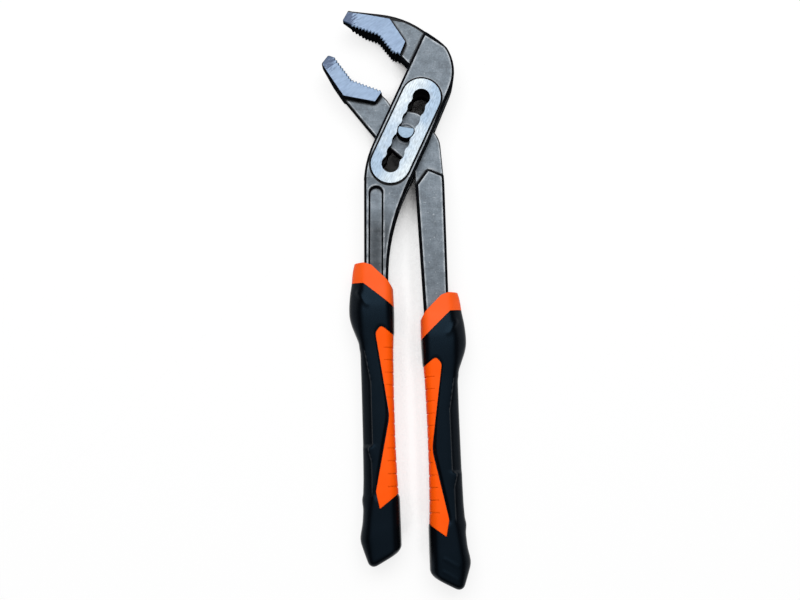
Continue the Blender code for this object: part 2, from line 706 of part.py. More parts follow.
def main():
    for old in list(bpy.data.objects):
        bpy.data.objects.remove(old)
    notch_slide = joint_empty("notch_slide")
    jaw_pivot = joint_empty("jaw_pivot", notch_slide)
    forged = (0.21, 0.23, 0.26)
    polished = (0.55, 0.66, 0.75)
    orange = (1.0, 0.11, 0.02)
    black = (0.008, 0.011, 0.018)
    finished(slotted_arm(), finish("slotted_arm_steel", forged, 0.45, 0.9))
    finished(through_arm(), finish("through_arm_steel", forged, 0.45, 0.9), jaw_pivot)
    finished(pivot_pin(), finish("pin_steel", polished, 0.3, 1.0), notch_slide)
    for prefix, side, plan, parent in (("left", LEFT, slotted_plan(), None),
                                       ("right", RIGHT, through_plan(), jaw_pivot)):
        sleeve = grip_sleeve(prefix + "_grip_sleeve", side, plan)
        finished(sleeve, finish(prefix + "_sleeve_orange", orange, 0.45), parent)
        cover = grip_cover(prefix + "_grip_cover", side)
        finished(cover, finish(prefix + "_cover_black", black, 0.5), parent)


main()
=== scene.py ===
import math

import bmesh
import bpy
import numpy as np
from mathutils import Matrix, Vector


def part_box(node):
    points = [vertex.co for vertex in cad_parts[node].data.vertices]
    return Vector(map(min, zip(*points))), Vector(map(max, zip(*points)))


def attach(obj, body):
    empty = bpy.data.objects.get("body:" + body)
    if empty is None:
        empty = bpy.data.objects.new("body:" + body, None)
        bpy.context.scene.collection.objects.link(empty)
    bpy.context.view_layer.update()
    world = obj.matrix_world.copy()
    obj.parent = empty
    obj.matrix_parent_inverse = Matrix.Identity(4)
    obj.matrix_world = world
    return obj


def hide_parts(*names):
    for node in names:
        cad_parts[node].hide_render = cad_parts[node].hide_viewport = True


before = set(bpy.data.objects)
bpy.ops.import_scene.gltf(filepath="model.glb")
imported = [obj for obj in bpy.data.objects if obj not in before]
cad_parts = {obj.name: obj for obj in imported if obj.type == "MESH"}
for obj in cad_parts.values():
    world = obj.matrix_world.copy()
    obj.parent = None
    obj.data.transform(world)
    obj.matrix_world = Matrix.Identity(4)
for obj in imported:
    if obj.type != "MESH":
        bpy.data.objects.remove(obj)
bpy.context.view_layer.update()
scene = bpy.context.scene
scene.view_settings.view_transform = "Standard"
mm = 0.001                                        # sizes are in millimetres where no note says metres
print("frame loaded:", sorted(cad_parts))

boxLow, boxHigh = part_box("slotted_arm")
jawLow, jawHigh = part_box("through_arm")
midZ = (boxLow.z + boxHigh.z) / 2 / mm


# Node helpers

def newMaterial(name):
    material = bpy.data.materials.new(name)
    material.use_nodes = True
    tree = material.node_tree
    return material, tree, tree.nodes["Principled BSDF"]


def setInput(tree, socket, value):
    if isinstance(value, bpy.types.NodeSocket):
        tree.links.new(value, socket)
    else:
        socket.default_value = value


def addNode(tree, kind, settings=None, **inputs):
    node = tree.nodes.new(kind)
    for key, value in (settings or {}).items():
        setattr(node, key, value)
    for key, value in inputs.items():
        setInput(tree, node.inputs[key.replace("_", " ")], value)
    return node


def ownPlace(tree):
    return addNode(tree, "ShaderNodeTexCoord").outputs["Object"]


def placeInMm(tree, turn=0.0):
    turned = addNode(tree, "ShaderNodeMapping", {"vector_type": "TEXTURE"}, Vector=ownPlace(tree),
                     Rotation=(0.0, 0.0, math.radians(turn)), Scale=(mm, mm, mm))
    return addNode(tree, "ShaderNodeSeparateXYZ", Vector=turned.outputs["Vector"]).outputs


def noiseAt(tree, noise, stretch=None, turn=0.0):
    scale, detail, roughness = noise
    place = ownPlace(tree)
    if stretch:
        mapping = addNode(tree, "ShaderNodeMapping", {"vector_type": "TEXTURE"}, Vector=place,
                          Rotation=(0.0, 0.0, math.radians(turn)), Scale=stretch)
        place = mapping.outputs["Vector"]
    return addNode(tree, "ShaderNodeTexNoise", Vector=place, Scale=scale, Detail=detail,
                   Roughness=roughness).outputs["Fac"]


def ramp(tree, value, *stops):
    node = addNode(tree, "ShaderNodeValToRGB", Fac=value)
    elements = node.color_ramp.elements
    while len(elements) < len(stops):
        elements.new(0.5)
    for element, (place, colour) in zip(elements, stops):
        element.position = place
        element.color = (*colour, 1.0) if isinstance(colour, tuple) else (colour, colour, colour, 1.0)
    return node.outputs["Color"]


def mixColour(tree, factor, first, second, blend="MIX"):
    node = addNode(tree, "ShaderNodeMix", {"data_type": "RGBA", "blend_type": blend})
    for socket, value in ((node.inputs[0], factor), (node.inputs[6], first), (node.inputs[7], second)):
        setInput(tree, socket, (*value, 1.0) if isinstance(value, tuple) else value)
    return node.outputs[2]


def tinted(tree, colour, tone):
    return mixColour(tree, 1.0, colour, tone, "MULTIPLY")


def valueOf(tree, operation, *values):
    node = addNode(tree, "ShaderNodeMath", {"operation": operation})
    for socket, value in zip(node.inputs, values):
        setInput(tree, socket, value)
    return node.outputs[0]


def placeAgainst(tree, operation, other):
    node = addNode(tree, "ShaderNodeVectorMath", {"operation": operation})
    setInput(tree, node.inputs[0], ownPlace(tree))
    setInput(tree, node.inputs[1], other)
    return node.outputs["Value"]


def lengthOf(tree, x, y):
    squares = valueOf(tree, "ADD", valueOf(tree, "MULTIPLY", x, x), valueOf(tree, "MULTIPLY", y, y))
    return valueOf(tree, "SQRT", squares)


def dress(tree, shader, look, colour, grain, height):
    tree.links.new(colour, shader.inputs["Base Color"])
    tree.links.new(ramp(tree, grain, *look["rough"]), shader.inputs["Roughness"])
    shader.inputs["Metallic"].default_value = look["metal"]
    shader.inputs["Specular IOR Level"].default_value = look["shine"]
    strength, depth = look["bump"]
    bump = addNode(tree, "ShaderNodeBump", Strength=strength, Distance=depth * mm, Height=height)
    tree.links.new(bump.outputs["Normal"], shader.inputs["Normal"])


# Forged steel. In every look a noise is its scale, detail and roughness, and a ramp is a row of stops.

forgedLook = {
    "cloud": (260.0, 3.0, 0.6), "grain": (1700.0, 2.0, 0.5), "specks": (900.0, 1.0, 0.5),
    "scratches": (480.0, 3.0, 0.6), "scratchStretch": (6.0, 0.5, 1.0),
    "tones": ((0.33, (0.13, 0.155, 0.182)), (0.5, (0.163, 0.197, 0.231)), (0.68, (0.2, 0.235, 0.272))),
    "grainTones": ((0.3, 0.86), (0.7, 1.14)), "patches": ((0.4, 0.35), (0.58, 1.0)),
    "scratch": (0.1, 0.117, 0.135), "scratchShare": ((0.58, 0.0), (0.72, 0.55)),
    "speck": (0.42, 0.45, 0.48), "speckShare": ((0.7, 0.0), (0.78, 0.7)),
    # wornGlint is rubbed steel with a painted highlight; sootShade is soot in the corners with painted
    # shade
    "wornGlint": (0.6, 0.64, 0.68), "sootShade": (0.003, 0.0035, 0.0045), "samples": 12,
    "edgeReach": 1.1, "edgeWornGlint": ((0.79, 0.0), (0.85, 1.0), (0.9, 1.0), (0.95, 0.0)),
    "edgeShade": ((0.72, 1.0), (0.8, 0.0)), "cornerReach": 2.3,
    "cornerWornGlint": ((0.8, 0.0), (0.86, 0.45), (0.93, 0.0)), "cornerSootShade": ((0.7, 1.0), (0.8, 0.0)),
    "rough": ((0.3, 0.62), (0.75, 0.48)), "metal": 0.15, "shine": 0.25, "bump": (0.25, 0.12)}
# Both shanks get darker towards the grips, a painted shade
slottedDim = {"from": -34.0, "to": -44.0, "share": 0.33}
throughDim = {"from": -25.0, "to": -90.0, "share": 0.68}
pinClear = {"centre": (0.0, 0.0), "radius": 6.3}  # no painted edge shade on the web this near the pin
# A painted black shade round the foot of the raised land
landShadeRing = {"turn": 65.8, "half": 16.5, "radius": 8.55, "width": 1.0,
              "shade": ((0.0, 1.0), (0.8, 1.0), (1.0, 0.0))}
# Painted black shade along the back of the upper jaw's cheek and pad, widening the shaded chamfer of the
# crown
cheekArc = {"centre": (-15.84, 15.57), "from": 38.35, "blur": 0.2, "aboveY": 44.0, "belowX": 8.7}
cheekStrip = {"way": (0.19, 0.98, 0.0), "from": 49.75, "blur": 0.2}
padStrip = {"way": (0.151, 0.988, 0.0), "from": 50.55, "blur": 0.2}


def landShadeLine(tree):
    place = placeInMm(tree, landShadeRing["turn"])
    past = valueOf(tree, "SUBTRACT", valueOf(tree, "ABSOLUTE", place["X"]), landShadeRing["half"])
    away = lengthOf(tree, valueOf(tree, "MAXIMUM", past, 0.0), place["Y"])
    outside = valueOf(tree, "SUBTRACT", away, landShadeRing["radius"])
    return ramp(tree, valueOf(tree, "DIVIDE", outside, landShadeRing["width"]), *landShadeRing["shade"])


def reachFrom(tree, centre):
    place = placeInMm(tree)
    return lengthOf(tree, valueOf(tree, "SUBTRACT", place["X"], centre[0]),
                    valueOf(tree, "SUBTRACT", place["Y"], centre[1]))


def blackPast(tree, distance, line):
    past = valueOf(tree, "SUBTRACT", distance, line["from"])
    return ramp(tree, valueOf(tree, "DIVIDE", past, line["blur"]), (0.0, 0.0), (1.0, 1.0))


def cheekShade(tree):
    place = placeInMm(tree)
    shade = blackPast(tree, reachFrom(tree, cheekArc["centre"]), cheekArc)
    shade = valueOf(tree, "MULTIPLY", shade, valueOf(tree, "GREATER_THAN", place["Y"], cheekArc["aboveY"]))
    return valueOf(tree, "MULTIPLY", shade, valueOf(tree, "LESS_THAN", place["X"], cheekArc["belowX"]))


def stripShade(tree, strip):
    return blackPast(tree, placeAgainst(tree, "DOT_PRODUCT", [size / mm for size in strip["way"]]), strip)


def openness(tree, reach, inside):
    settings = {"samples": forgedLook["samples"], "only_local": True, "inside": inside}
    return addNode(tree, "ShaderNodeAmbientOcclusion", settings, Distance=reach * mm).outputs["AO"]


def forgedFinish(name, dim, slotted):
    material, tree, shader = newMaterial(name)
    look = forgedLook
    cloud = noiseAt(tree, look["cloud"])
    grain = noiseAt(tree, look["grain"])
    specks = noiseAt(tree, look["specks"])
    scratches = noiseAt(tree, look["scratches"], look["scratchStretch"])
    colour = tinted(tree, ramp(tree, cloud, *look["tones"]), ramp(tree, grain, *look["grainTones"]))
    colour = mixColour(tree, ramp(tree, scratches, *look["scratchShare"]), colour, look["scratch"])
    colour = mixColour(tree, ramp(tree, specks, *look["speckShare"]), colour, look["speck"])
    # Painted shade: the shank gets darker towards the grips
    depth = addNode(tree, "ShaderNodeMapRange", Value=placeInMm(tree)["Y"], From_Min=dim["to"],
                    From_Max=dim["from"], To_Min=dim["share"], To_Max=1.0)
    colour = tinted(tree, colour, depth.outputs["Result"])
    # Outer edges and the rims beside the steps are rubbed bright, partly wear and partly a painted
    # highlight. Sharp outer edges are painted black shade. The corners of the steps are black, partly soot
    # and partly painted shade.
    patchy = ramp(tree, cloud, *look["patches"])
    within = openness(tree, look["edgeReach"], True)
    edge = valueOf(tree, "MULTIPLY", ramp(tree, within, *look["edgeWornGlint"]), patchy)
    colour = mixColour(tree, edge, colour, look["wornGlint"])
    # Painted black shade on the sharp outer edges
    edgeShadeMask = ramp(tree, within, *look["edgeShade"])
    if not slotted:
        away = valueOf(tree, "GREATER_THAN", reachFrom(tree, pinClear["centre"]), pinClear["radius"])
        edgeShadeMask = valueOf(tree, "MULTIPLY", edgeShadeMask, away)
    colour = mixColour(tree, edgeShadeMask, colour, look["sootShade"])
    # Rims beside the steps: wear with a painted highlight; the corners of the steps: soot with painted
    # shade
    exposed = openness(tree, look["cornerReach"], False)
    rim = valueOf(tree, "MULTIPLY", ramp(tree, exposed, *look["cornerWornGlint"]), patchy)
    colour = mixColour(tree, rim, colour, look["wornGlint"])
    colour = mixColour(tree, ramp(tree, exposed, *look["cornerSootShade"]), colour, look["sootShade"])
    # Painted black shade on the slotted arm: round the raised land, and along the back of the upper jaw's
    # cheek
    if slotted:
        lines = valueOf(tree, "MAXIMUM", landShadeLine(tree), stripShade(tree, cheekStrip))
        lines = valueOf(tree, "MAXIMUM", lines, cheekShade(tree))
        colour = mixColour(tree, lines, colour, look["sootShade"])
    dress(tree, shader, look, colour, grain, cloud)
    return material


# Near-black side walls, chamfers and teeth: partly dark forge scale, partly a painted shade
shadedWallLook = {
    "tones": ((0.35, (0.003, 0.0034, 0.0045)), (0.7, (0.008, 0.009, 0.011))), "grain": (900.0, 3.0, 0.5),
    "rough": ((0.3, 0.5), (0.7, 0.66)), "metal": 0.0, "shine": 0.0, "bump": (0.3, 0.05)}


def shadedWallFinish():
    material, tree, shader = newMaterial("blackWallScaleAndShade")
    grain = noiseAt(tree, shadedWallLook["grain"])
    dress(tree, shader, shadedWallLook, ramp(tree, grain, *shadedWallLook["tones"]), grain, grain)
    return material


# Ground steel: fine lines one way, and on the jaws a painted shade that darkens the tip

# The bluish tones of the land, jaws and pin are grey steel with a painted sky reflection
landLook = {
    "tones": ((0.3, (0.31, 0.42, 0.55)), (0.7, (0.59, 0.66, 0.705))), "turn": 65.8, "spread": 0.0022,
    "cloud": (160.0, 2.0, 0.5), "cloudShare": 0.6, "cloudFrom": 0.2,
    "lines": (2200.0, 3.0, 0.6), "lineStretch": (5.0, 1.0, 1.0), "lineTurn": 68.0,
    "lineTones": ((0.34, 0.7), (0.62, 1.06)),
    "rough": ((0.3, 0.55), (0.7, 0.39)), "metal": 0.2, "shine": 0.5, "bump": (0.3, 0.02)}
jawLook = {
    "tones": ((0.3, (0.178, 0.257, 0.386)), (0.7, (0.2, 0.285, 0.416))), "tint": (200.0, 1.0, 0.5),
    "lines": (1900.0, 3.0, 0.6), "lineStretch": (5.0, 1.0, 1.0), "lineTurn": 35.0,
    "lineTones": ((0.34, 0.93), (0.62, 1.06)),
    "tipShadeTones": ((0.8, (0.17, 0.23, 0.33)), (1.0, 1.0)), "tipShadeRise": 90.0,       # the rise is for each metre
    "rough": ((0.3, 0.52), (0.7, 0.36)), "metal": 0.2, "shine": 0.5, "bump": (0.3, 0.02)}
jawTips = {"upper": (-27.0, 52.5, 13.0), "lower": (-36.0, 33.5, 13.0)}
pinLook = {
    "tones": ((0.3, (0.204, 0.3, 0.405)), (0.7, (0.226, 0.322, 0.428))), "tint": (90.0, 1.0, 0.5),
    "lines": (2400.0, 3.0, 0.6), "lineStretch": (5.0, 1.0, 1.0), "lineTurn": 20.0,
    "lineTones": ((0.34, 0.93), (0.62, 1.06)),
    "rough": ((0.3, 0.5), (0.7, 0.34)), "metal": 0.2, "shine": 0.5, "bump": (0.3, 0.02)}


def landGlareTone(tree):
    place = placeInMm(tree, landLook["turn"])
    # A painted glare that brightens the land towards one corner, over a cloud of tone
    cornerGlare = valueOf(tree, "MULTIPLY", place["X"], place["Y"])
    cornerGlare = valueOf(tree, "MULTIPLY", cornerGlare, landLook["spread"])
    cloud = noiseAt(tree, landLook["cloud"])
    cloud = valueOf(tree, "MULTIPLY_ADD", cloud, landLook["cloudShare"], landLook["cloudFrom"])
    return valueOf(tree, "ADD", cornerGlare, cloud)


def groundFinish(name, look, tintOf=None, tip=None, strip=None):
    material, tree, shader = newMaterial(name)
    lines = noiseAt(tree, look["lines"], look["lineStretch"], look["lineTurn"])
    tint = tintOf(tree) if tintOf else noiseAt(tree, look["tint"])
    colour = tinted(tree, ramp(tree, tint, *look["tones"]), ramp(tree, lines, *look["lineTones"]))
    # Painted shade at the jaw's tip, standing in for a bevel turned away from the light
    if tip:
        away = placeAgainst(tree, "DISTANCE", [size * mm for size in tip])
        patchy = valueOf(tree, "ADD", valueOf(tree, "MULTIPLY", away, look["tipShadeRise"]), lines)
        colour = tinted(tree, colour, ramp(tree, patchy, *look["tipShadeTones"]))
    # A painted black shade along the back of the pad
    if strip:
        colour = mixColour(tree, stripShade(tree, strip), colour, forgedLook["sootShade"])
    dress(tree, shader, look, colour, lines, lines)
    return material


# Grip plastics

collarLook = {
    "tones": ((0.35, (0.93, 0.1, 0.008)), (0.65, (0.97, 0.112, 0.012))), "glint": (1.0, 1.0, 1.0),
    "cloud": (70.0, 2.0, 0.5), "grain": (2600.0, 2.0, 0.5), "rough": ((0.3, 0.5), (0.7, 0.38)),
    "metal": 0.0, "shine": 0.11, "bump": (0.2, 0.03)}
inlayLook = {
    **collarLook, "tones": ((0.35, (0.98, 0.096, 0.002)), (0.65, (1.0, 0.108, 0.004))), "shine": 0.05}
rubberLook = {
    "tones": ((0.35, (0.001, 0.0013, 0.002)), (0.65, (0.0015, 0.002, 0.003))), "glint": (0.33, 0.65, 1.0),
    "cloud": (80.0, 3.0, 0.5), "grain": (2400.0, 2.0, 0.5), "rough": ((0.3, 0.34), (0.7, 0.26)),
    "metal": 0.0, "shine": 0.12, "bump": (0.15, 0.02)}


def gripFinish(name, look):
    material, tree, shader = newMaterial(name)
    cloud = noiseAt(tree, look["cloud"])
    grain = noiseAt(tree, look["grain"])
    dress(tree, shader, look, ramp(tree, cloud, *look["tones"]), grain, grain)
    shader.inputs["Specular Tint"].default_value = (*look["glint"], 1.0)
    return material


scaleShadeWall = shadedWallFinish()
slottedSteel = forgedFinish("forgedSlotted", slottedDim, slotted=True)
throughSteel = forgedFinish("forgedThrough", throughDim, slotted=False)
land = groundFinish("groundLand", landLook, tintOf=landGlareTone)
upperJaw = groundFinish("groundUpperJaw", jawLook, tip=jawTips["upper"], strip=padStrip)
lowerJaw = groundFinish("groundLowerJaw", jawLook, tip=jawTips["lower"])
pinFace = groundFinish("groundPin", pinLook)
collarOrange = gripFinish("orangeCollar", collarLook)
inlayOrange = gripFinish("orangeInlay", inlayLook)
rubber = gripFinish("blackRubber", rubberLook)
print("finishes made")


# Meshes

def addObject(name, data):
    thing = bpy.data.objects.new(name, data)
    scene.collection.objects.link(thing)
    return thing


def pieceFrom(name, mesh, body, slotName, *nodes):
    piece = addObject(name, mesh)
    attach(piece, body)
    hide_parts(*nodes)


def asObject(name, bm):
    mesh = bpy.data.meshes.new(name)
    bm.to_mesh(mesh)
    bm.free()
    return addObject(name, mesh)


def settle(thing):                                # makes what the modifiers show a plain mesh
    graph = bpy.context.evaluated_depsgraph_get()
    mesh = bpy.data.meshes.new_from_object(thing.evaluated_get(graph))
    thing.modifiers.clear()
    thing.data = mesh


def cut(target, tool, operation="DIFFERENCE"):
    modifier = target.modifiers.new("cut", "BOOLEAN")
    modifier.operation = operation
    modifier.object = tool
    modifier.solver = "EXACT"
    settle(target)
    bpy.data.objects.remove(tool)


def skinned(name, rings):
    bm = bmesh.new()
    loops = [[bm.verts.new(point) for point in ring] for ring in rings]
    for lower, upper in zip(loops, loops[1:]):
        for index in range(len(lower)):
            bm.faces.new((lower[index - 1], lower[index], upper[index], upper[index - 1]))
    bm.faces.new(loops[0])
    bm.faces.new(loops[-1])
    bmesh.ops.recalc_face_normals(bm, faces=bm.faces)
    return asObject(name, bm)


# Forged arms and pin: the solids with their edges rounded, each face in the finish of its zone

edgeSizes = {"merge": 0.002, "flat": 0.5, "shortest": 0.1, "width": 0.28, "segments": 3, "profile": 0.5,
             "sharpest": 20.0, "crease": 40.0}
zoneSizes = {"faceTilt": 0.985, "levelSlack": 0.12, "rimTilt": 0.3, "rimDrop": 0.36, "rampTilt": 0.8,
             "rampArea": 4.0}
landLevel = (boxHigh.z - boxLow.z) / 2 / mm
jawLevel = (jawHigh.z - jawLow.z) / 2 / mm
landZone = {"level": landLevel, "fromY": -40.0, "teeth": None}
upperZone = {"level": jawLevel, "fromY": 12.0, "teeth": (-0.5, -0.87)}     # the way that the teeth face
lowerZone = {"level": jawLevel, "fromY": 12.0, "teeth": (0.45, 0.89)}
# Slanting trims: where each starts, which way it falls, how steep, at what height and on which faces
crownCorner = {"place": (8.6, 47.0), "out": (0.55, 0.835), "steep": 1.35, "level": 3.3, "sides": (1, -1)}
upperTip = {"place": (-17.3, 49.5), "out": (-0.98, 0.19), "steep": 0.73, "level": 5.5, "sides": (-1,)}
lowerTip = {"place": (-28.7, 25.7), "out": (-0.545, 0.84), "steep": 0.73, "level": 5.5, "sides": (-1,)}


def mergedSolid(node):
    bm = bmesh.new()
    bm.from_mesh(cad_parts[node].data)
    bmesh.ops.remove_doubles(bm, verts=bm.verts, dist=edgeSizes["merge"] * mm)
    return bm


def trimOff(bm, trim):
    for side in trim["sides"]:
        spot = [trim["place"][0] * mm, trim["place"][1] * mm, (midZ + side * trim["level"]) * mm]
        way = [trim["out"][0] * trim["steep"], trim["out"][1] * trim["steep"], side]
        parts = bm.verts[:] + bm.edges[:] + bm.faces[:]
        found = bmesh.ops.bisect_plane(bm, geom=parts, plane_co=spot, plane_no=way, clear_outer=True)
        rim = [part for part in found["geom_cut"] if isinstance(part, bmesh.types.BMEdge)]
        bmesh.ops.holes_fill(bm, edges=rim, sides=0)


def roundedSolid(node, trims):
    bm = mergedSolid(node)
    for trim in trims:
        trimOff(bm, trim)
    flat = math.radians(edgeSizes["flat"])
    bmesh.ops.dissolve_limit(bm, angle_limit=flat, verts=bm.verts, edges=bm.edges)
    bmesh.ops.dissolve_degenerate(bm, dist=edgeSizes["shortest"] * mm, edges=bm.edges)
    limit = math.radians(edgeSizes["sharpest"])
    sharp = [edge for edge in bm.edges if edge.is_manifold and edge.calc_face_angle() > limit]
    bmesh.ops.bevel(bm, geom=sharp, offset=edgeSizes["width"] * mm, offset_type="OFFSET",
                    segments=edgeSizes["segments"], profile=edgeSizes["profile"], affect="EDGES",
                    clamp_overlap=True, material=-1)
    return bm


def zoneOf(face, zones):                          # 0 is a forged face, 1 a wall, the rest are ground
    tilt = abs(face.normal.z)
    centre = face.calc_center_median() / mm
    for index, zone in zones.items():
        drop = zone["level"] - abs(centre.z - midZ)
        if centre.y < zone["fromY"] or abs(drop) > zoneSizes["rimDrop"]:
            continue
        if tilt > zoneSizes["faceTilt"] and abs(drop) < zoneSizes["levelSlack"]:
            return index
        if zone["teeth"] and zoneSizes["rimTilt"] < tilt <= zoneSizes["faceTilt"]:
            if face.normal.x * zone["teeth"][0] + face.normal.y * zone["teeth"][1] > 0.0:
                return index
    if tilt > zoneSizes["faceTilt"]:
        return 0
    wide = face.calc_area() / mm ** 2 > zoneSizes["rampArea"]
    return 0 if tilt > zoneSizes["rampTilt"] and wide else 1


def forgedPiece(name, node, body, slotName, materials, zones, trims=()):
    bm = roundedSolid(node, trims)
    for face in bm.faces:
        face.material_index = zoneOf(face, zones)
        face.smooth = True
    thing = asObject(name, bm)
    for material in materials:
        thing.data.materials.append(material)
    thing.data.set_sharp_from_angle(angle=math.radians(edgeSizes["crease"]))
    weighted = thing.modifiers.new("weighted", "WEIGHTED_NORMAL")
    weighted.keep_sharp = True
    settle(thing)
    mesh = thing.data
    bpy.data.objects.remove(thing)
    print(name, "has", len(mesh.polygons), "faces")
    pieceFrom(name, mesh, body, slotName, node)


forgedPiece("slottedArm", "slotted_arm", "slotted_arm", "forged_steel",
            (slottedSteel, scaleShadeWall, land, upperJaw), {2: landZone, 3: upperZone}, [crownCorner, upperTip])
forgedPiece("throughArm", "through_arm", "through_arm", "forged_steel",
            (throughSteel, scaleShadeWall, lowerJaw), {2: lowerZone}, [lowerTip])
forgedPiece("pivotPin", "pivot_pin", "pivot_pin", "pin_steel", (throughSteel, scaleShadeWall, pinFace), {2: landZone})
print("arms and pin made")


# Grips: a loft of faceted sections, parted into a hard collar, a hard inlay and a soft cover

# Low ridges on the front facet, each a line from one place to another
shoulderBead = {"ends": ((12.3, 7.4), (17.3, 3.8)), "height": 0.3, "width": 0.95}
tailBeads = [{"ends": ((111.6, -1.9), (115.0, 3.7)), "height": 0.2, "width": 0.6},
             {"ends": ((116.8, -2.4), (120.3, 3.2)), "height": 0.2, "width": 0.6}]
gripPlaces = {
    "left": {"x": -13.65, "y": -58.8, "lean": 1.8, "length": 126.0, "outer": -1, "body": "slotted_arm",
             "inlayMoves": ((0.0, 0.0), (0.0, -0.4), (-0.9, 0.0)), "beads": [shoulderBead],
             "collarBottom": ((15.5, -14.0), (0.2, 5.0), (-0.6, 14.0))},
    "right": {"x": 13.6, "y": -72.0, "lean": 2.15, "length": 122.4, "outer": 1, "body": "through_arm",
              "inlayMoves": ((0.9, 0.0), (2.4, -1.0), (0.2, -1.3)), "beads": [shoulderBead] + tailBeads,
              "collarBottom": ((17.4, -14.0), (-0.5, 5.0), (-1.4, 14.0))}}
gripSizes = {"start": -3.0, "length": 123.0, "endRound": 3.0, "ringStep": 0.65, "endRings": 7, "sides": 112,
             "crispness": 12.0, "outerTurn": 47.0, "innerTurn": 45.0, "soften": 1.2, "coverWall": 1.8,
             "coreStep": 2.0, "partGap": 0.1, "inlaySink": 0.3, "inlayDrop": 0.4, "tailFrom": 104.0,
             "tailSlant": 0.54, "crease": 32.0}
# Down from the collar: outer and inner half widths, half thickness
gripStations = ((-3.0, 8.0, 7.4, 6.4), (0.5, 9.2, 7.5, 6.5), (3.0, 9.8, 7.6, 6.5), (8.0, 10.4, 7.7, 6.55),
                (13.0, 11.3, 7.8, 7.05), (18.0, 11.7, 7.9, 7.45), (22.0, 11.65, 7.9, 7.5),
                (25.5, 10.8, 7.8, 7.45), (33.5, 7.65, 7.5, 7.1), (36.0, 7.55, 7.3, 7.0),
                (55.0, 7.5, 7.0, 6.9), (75.0, 7.5, 7.05, 6.9), (90.0, 7.7, 7.4, 7.0),
                (99.0, 8.2, 7.9, 7.1), (101.3, 7.7, 7.9, 7.1), (106.7, 8.15, 7.95, 7.1),
                (110.5, 9.2, 8.0, 7.2), (112.1, 9.4, 8.0, 7.2), (114.4, 8.5, 8.0, 7.2),
                (123.0, 5.2, 8.0, 7.0))
# Down from the collar: where the front facet ends on the outer and on the inner side
outerCrease = ((-3.0, 5.0), (8.0, 5.3), (20.0, 6.4), (30.0, 5.9), (36.0, 5.2), (50.0, 2.7), (75.5, 2.7),
               (77.0, 4.8), (82.5, 3.3), (97.0, 3.3), (112.0, 5.4), (123.0, 4.0))
innerCrease = ((-3.0, -5.2), (30.0, -5.0), (62.0, -4.6), (123.0, -4.9))
flankSizes = {"from": 35.0, "to": 98.0, "fade": 3.0, "depth": 0.35, "width": 0.45, "bead": 0.14,
              "beadWidth": 0.35}
inlayEdge = {"depth": 0.85, "width": 1.5, "above": 0.55, "from": 54.0, "to": 68.0, "fadeFrom": 95.0,
             "fadeTo": 99.0}


def along(table, place, column=1):
    return np.interp(place, [row[0] for row in table], [row[column] for row in table])


def smooth(low, high, value):
    share = np.clip((value - low) / (high - low), 0.0, 1.0)
    return share * share * (3 - 2 * share)


def stationAt(down):
    spread = down + gripSizes["soften"] * np.linspace(-1.0, 1.0, 5)
    return [float(along(gripStations, spread, column).mean()) for column in (1, 2, 3)]


def gripPoint(place, down, outward):
    lean = math.radians(place["lean"])
    across = outward * place["outer"]
    down = down * (place["length"] / gripSizes["length"])
    return (place["x"] + down * math.sin(lean) + across * math.cos(lean),
            place["y"] - down * math.cos(lean) + across * math.sin(lean))


def section(down, shrink=0.0, drop=0.0):
    outer, inner, half = stationAt(down)
    centre, width, half = (outer - inner) / 2, (outer + inner) / 2 - shrink, half - shrink - drop
    walls = [(1.0, 0.0, width), (-1.0, 0.0, width), (0.0, 1.0, half), (0.0, -1.0, half)]
    facets = ((1, gripSizes["outerTurn"], outerCrease), (-1, gripSizes["innerTurn"], innerCrease))
    for side, degrees, crease in facets:
        turn = math.radians(degrees)
        reach = side * (along(crease, down) - centre) * math.cos(turn) + half * math.sin(turn) - shrink / 2
        walls += [(side * math.cos(turn), face * math.sin(turn), reach) for face in (1, -1)]
    angles = 2 * np.pi * (np.arange(gripSizes["sides"]) + 0.5) / gripSizes["sides"]
    ways = np.stack((np.cos(angles), np.sin(angles)), 1)
    gauge = sum(np.maximum(0.0, (ways[:, 0] * x + ways[:, 1] * z) / reach) ** gripSizes["crispness"]
                for x, z, reach in walls) ** (1 / gripSizes["crispness"])
    return centre, centre + ways[:, 0] / gauge, ways[:, 1] / gauge


def outlineDistance(outline, down, outward):
    corners = np.array(outline)
    ends = np.roll(corners, -1, 0)
    points = np.stack((down, outward), 1)[:, None]
    sides = (ends - corners)[None]
    share = np.clip(((points - corners) * sides).sum(2) / (sides ** 2).sum(2), 0.0, 1.0)
    return np.sqrt((((corners + share[:, :, None] * sides) - points) ** 2).sum(2)).min(1)


def sunkRelief(place, down, slanted, outward):
    # The flank beyond its crease, with a bead along it
    shown = smooth(flankSizes["from"], flankSizes["from"] + flankSizes["fade"], down)
    shown *= 1 - smooth(flankSizes["to"] - flankSizes["fade"], flankSizes["to"], down)
    crease = along(outerCrease, down)
    sunk = flankSizes["depth"] * shown * smooth(crease, crease + flankSizes["width"], outward)
    bead = np.exp(-((outward - crease) / flankSizes["beadWidth"]) ** 2)
    sunk = sunk - flankSizes["bead"] * shown * bead
    # The border of the inlay, shallower above its waist
    near = outlineDistance(inlayOutline(place), slanted, outward)
    below = smooth(inlayEdge["from"], inlayEdge["to"], down)
    size = inlayEdge["above"] + (1 - inlayEdge["above"]) * below
    deep = size * inlayEdge["depth"] * (1 - smooth(inlayEdge["fadeFrom"], inlayEdge["fadeTo"], down))
    sunk = sunk + deep * (1 - np.clip(near / size / inlayEdge["width"], 0.0, 1.0))
    for bead in place["beads"]:
        near = outlineDistance(bead["ends"], slanted, outward)
        sunk = sunk - bead["height"] * np.exp(-(near / bead["width"]) ** 2)
    return sunk


